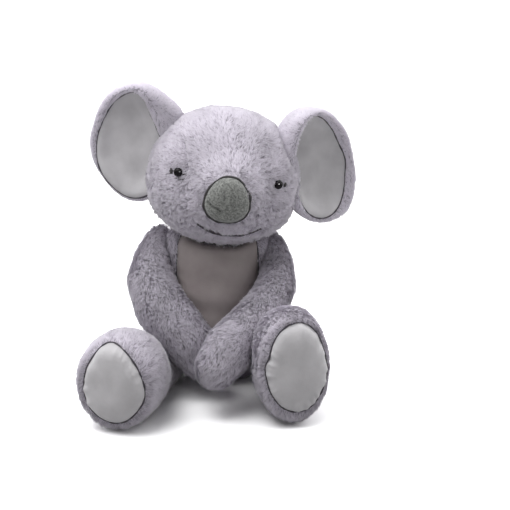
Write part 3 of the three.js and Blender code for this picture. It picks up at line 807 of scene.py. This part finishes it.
def grow_pile(name, skin, body, comb, seed, hair_long, hair_rise, hairs_per_mm2, side=None, eyes=(),
              stitches=(), ruffled=evenly(0.6), pale=0.0):
    """Plants tufts of hair all over a skin, or one side of it, lying the way that comb gives at each
    place. Eyes and stitches are places where the fur is parted. Ruffled says how untidy the fur is at
    each place. Pale is painted light: it starts the hair's root-to-tip ramp further up, past the painted
    root shade, and makes the tone paler, so that the pile shows brighter, as if lit from above and
    behind."""
    random = np.random.default_rng(seed)
    skin.data.calc_loop_triangles()
    corners = np.empty(len(skin.data.loop_triangles) * 3, np.int32)
    skin.data.loop_triangles.foreach_get("vertices", corners)
    corners = corners.reshape(-1, 3)
    places, normals = points_of(skin), normals_of(skin)
    a, b, c = (places[corners[:, k]] for k in range(3))
    areas = np.linalg.norm(np.cross(b - a, c - a), axis=1) / 2
    total = areas.sum() / mm ** 2

    def sow(count):
        face = corners[random.choice(len(areas), int(count), p=areas / areas.sum())]
        share = random.dirichlet((1, 1, 1), int(count))[:, :, None]
        return (places[face] * share).sum(1), unit((normals[face] * share).sum(1))

    spots, out = sow(total / tuft_area)
    if side:
        facing_side = (spots - np.array(side[0])) @ np.array(side[1]) > -6 * mm
        spots, out = spots[facing_side], out[facing_side]
    room = np.full(len(spots), 1.0)
    kept = np.ones(len(spots), bool)
    for other, tree in skin_trees.items():
        if other == skin.name:
            continue
        for i, spot in enumerate(spots):
            hit, normal, _, gap = tree.find_nearest(Vector(spot), 10 * mm)
            if hit is None:
                continue
            inside = (Vector(spot) - hit).dot(normal) < 0
            if inside or gap < 1.2 * mm:
                kept[i] = False
            else:
                room[i] = min(room[i], gap / (2.2 * hair_rise))
    spots, out, room = spots[kept], out[kept], np.clip(room[kept], 0.35, 1)
    along = comb(spots)
    along = unit(along - out * (along * out).sum(1, keepdims=True))
    rough = np.clip(ruffled(spots) * (1 + 0.4 * slow_noise(spots, 26 * mm, seed + 9)), 0.1, 1.6)
    swing = np.radians(26) * slow_noise(spots, 40 * mm, seed)
    swing += np.radians(14 + 14 * rough) * slow_noise(spots, 12 * mm, seed + 5)
    swing += np.radians(6 + 18 * rough) * random.normal(size=len(spots))
    along = along * np.cos(swing)[:, None] + np.cross(out, along) * np.sin(swing)[:, None]
    tall = hair_rise * room * (1 + rough * random.uniform(-0.34, 0.22, len(spots)))
    tall *= 1 + 0.14 * rough * slow_noise(spots, 14 * mm, seed + 1)
    reach = np.sqrt(np.maximum((hair_long * room) ** 2 - tall ** 2, 1e-9))
    tone_of = 0.5 + 0.6 * pale + 0.12 * slow_noise(spots, 50 * mm, seed + 2)
    tone_of += 0.1 * rough * slow_noise(spots, 8 * mm, seed + 3)
    tone_of += (0.07 + 0.12 * rough) * random.normal(size=len(spots))

    finder = KDTree(len(spots))
    for i, spot in enumerate(spots):
        finder.insert(spot, i)
    finder.balance()
    foot, up = sow(total * hairs_per_mm2)
    if side:
        facing_side = (foot - np.array(side[0])) @ np.array(side[1]) > 0
        foot, up = foot[facing_side], up[facing_side]
    which = random.choice(3, len(foot), p=(0.6, 0.25, 0.15))
    near = [finder.find_n(place, 3)[i] for place, i in zip(foot, which)]
    tuft = np.array([found[1] for found in near])
    close = np.array([found[2] for found in near]) < 5.5 * mm
    short = np.ones(len(foot))
    if skin.name in bare_places:
        centre, axes3, outline = bare_places[skin.name]
        flat = (foot - centre) @ axes3.T
        edge = np.hypot(flat[:, 0], flat[:, 1]) - outline(np.arctan2(flat[:, 1], flat[:, 0]))
        ahead = up @ axes3[2] > 0.1
        close &= (edge > 0) | ~ahead
        short = np.where(ahead, np.clip((edge + 2.5 * mm) / (6 * mm), 0.45, 1), 1)
    for eye, shown in eyes:
        away = np.linalg.norm(foot - np.array(eye), axis=1)
        close &= away > shown
        short = np.minimum(short, np.clip(away / (10 * mm), 0.5, 1))
    for route, half_wide in stitches:
        away = near_route(foot, route)
        close &= away > half_wide
        short = np.minimum(short, np.clip((away + 1.5 * mm) / (5 * mm), 0.4, 1))
    foot, up, tuft, short = foot[close], up[close], tuft[close], short[close]
    count = len(foot)
    lie = along[tuft] + 0.26 * random.normal(size=(count, 3))
    lie = unit(lie - up * (lie * up).sum(1, keepdims=True))
    size = short * random.uniform(0.85, 1.1, count)
    rise_, run = (tall[tuft] * size)[:, None], (reach[tuft] * size)[:, None]
    tuft_tip = spots[tuft] + out[tuft] * rise_ * 1.1 + along[tuft] * run
    tuft_mid = spots[tuft] + out[tuft] * rise_ * 0.62 + along[tuft] * run * 0.3
    drawn = (0.06 + 0.24 * rough[tuft])[:, None]
    tip = (foot + up * rise_ + lie * run) * (1 - drawn) + tuft_tip * drawn
    mid = (foot + up * rise_ * 0.66 + lie * run * 0.3) * 0.85 + tuft_mid * 0.15
    roll = random.uniform(-0.6, 0.6, count)[:, None]
    flat = np.cross(lie, up) * np.cos(roll) + up * np.sin(roll)
    wide = hair_wide * random.uniform(0.75, 1.25, count)[:, None]
    root = foot - up * 0.4 * mm
    points = np.stack([root - flat * wide * 0.35, root + flat * wide * 0.35,
                       mid - flat * wide * 0.5, mid + flat * wide * 0.5, tip], 1)
    points[:, :, 2] = np.maximum(points[:, :, 2], floor_top)
    first = (np.arange(count) * 5)[:, None]
    loops = (first + np.array([0, 1, 3, 2, 2, 3, 4])).ravel()
    mesh = bpy.data.meshes.new(name)
    mesh.vertices.add(count * 5)
    mesh.vertices.foreach_set("co", points.astype(np.float32).ravel())
    mesh.loops.add(count * 7)
    mesh.loops.foreach_set("vertex_index", loops.astype(np.int32))
    mesh.polygons.add(count * 2)
    starts = ((np.arange(count) * 7)[:, None] + np.array([0, 4])).ravel()
    mesh.polygons.foreach_set("loop_start", starts.astype(np.int32))
    mesh.update(calc_edges=True)
    shade = np.clip(tone_of[tuft] + 0.08 * random.normal(size=count), 0.04, 0.96)[:, None]
    across = shade + np.array([-1, 1, 1, -1, -1, 1, 0]) * 0.01
    up_hair = np.array([0, 0, hair_bend, hair_bend, hair_bend, hair_bend, 1.0])
    length = np.broadcast_to(pale + (1 - pale) * up_hair, across.shape)
    chart = mesh.uv_layers.new(name="OFBake")
    chart.data.foreach_set("uv", np.stack([across, length], 2).astype(np.float32).ravel())
    mesh.polygons.foreach_set("use_smooth", np.ones(count * 2, bool))
    soft = np.repeat(up[:, None], 5, 1) * 0.9 + np.cross(flat, lie)[:, None] * 0.4 + lie[:, None] * 0.1
    mesh.normals_split_custom_set_from_vertices(unit(soft.reshape(-1, 3)).astype(np.float32))
    pile = bpy.data.objects.new(name, mesh)
    bpy.context.scene.collection.objects.link(pile)
    mesh.materials.append(fur)
    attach(pile, body)
    return pile


# The face is brushed away from the nose and down; the body and the arms are brushed down; each
# foot's fur turns out round its sole; the ears' lies back.
nose_tip = np.array(on_head(5 * mm, 75 * mm, 4 * mm))


def comb_head(at):
    return unit(at - nose_tip) + np.array([0, 0.1, -0.45])


def comb_down(at):
    return np.array([0, -0.1, -1.0]) + at * 0


def comb_to(target, start):
    def comb(at):
        return unit(target - at) + 0.6 * unit((target - start)[None])
    return comb


def comb_leg(heading, sole_middle, swept):
    """Swept is how far the fur is brushed back from the sole; below nought it is brushed forward."""
    def comb(at):
        ahead = (at - sole_middle) @ heading
        spread = at - sole_middle - ahead[:, None] * heading
        turn_out = np.clip(1 + ahead / (14 * mm), 0, 1)[:, None]
        return unit(spread) * turn_out - heading * (1 - 0.8 * turn_out) * swept + np.array([0, 0, -0.25])
    return comb


def comb_ear(place):
    def comb(at):
        spread = at - np.array(place.translation)
        return 0.8 * unit(spread) + np.array([0, 0.9, -0.7])
    return comb


def ruffled_face(at):
    return np.clip(1.7 - (at[:, 2] - 200 * mm) / (40 * mm), 0.15, 1.7)


eye_crowns = [(eye_spots["left"][0], 2.3 * mm), (eye_spots["right"][0], 3.4 * mm)]
grow_pile("body_pile", body_skin, "body", comb_down, seed=1,
          hair_long=6.5 * mm, hair_rise=3.5 * mm, hairs_per_mm2=1.1)
grow_pile("face_pile", head_skin, "head", comb_head, seed=2,
          hair_long=5 * mm, hair_rise=3 * mm, hairs_per_mm2=1.7,
          side=(head_place.translation, face_way), eyes=eye_crowns, stitches=face_stitches,
          ruffled=ruffled_face)
grow_pile("back_of_head_pile", head_skin, "head", comb_head, seed=3,
          hair_long=5.5 * mm, hair_rise=3.2 * mm, hairs_per_mm2=1.5,
          side=(head_place.translation, -face_way))
paws = {"left": np.array((-15, -125, 40)) * mm, "right": np.array((0, -82, 28)) * mm}
shoulders = {"left": np.array((57, -3, 152)) * mm, "right": np.array((-62, 1, 157)) * mm}
swept_back = {"left": -0.3, "right": 0.8}
for seed, side in enumerate(("left", "right")):
    grow_pile(side + "_arm_pile", arm_skins[side], side + "_arm", comb_to(paws[side], shoulders[side]),
              seed=4 + seed, hair_long=5.8 * mm, hair_rise=3.6 * mm, hairs_per_mm2=1.9,
              ruffled=evenly(0.5))
    comb = comb_leg(np.array(leg_headings[side].normalized()), np.array(sole_middles[side]),
                    swept_back[side])
    grow_pile(side + "_leg_pile", leg_skins[side], side + "_leg", comb,
              seed=6 + seed, hair_long=5.5 * mm, hair_rise=3.3 * mm, hairs_per_mm2=1.7,
              ruffled=evenly(0.7))
    # The ears' fur is painted paler: painted light for their brightly lit rims and fold.
    grow_pile(side + "_ear_pile", ear_skins[side], side + "_ear", comb_ear(ear_places[side]),
              seed=8 + seed, hair_long=4.6 * mm, hair_rise=1.6 * mm, hairs_per_mm2=2.3,
              ruffled=evenly(0.15), pale=0.5)
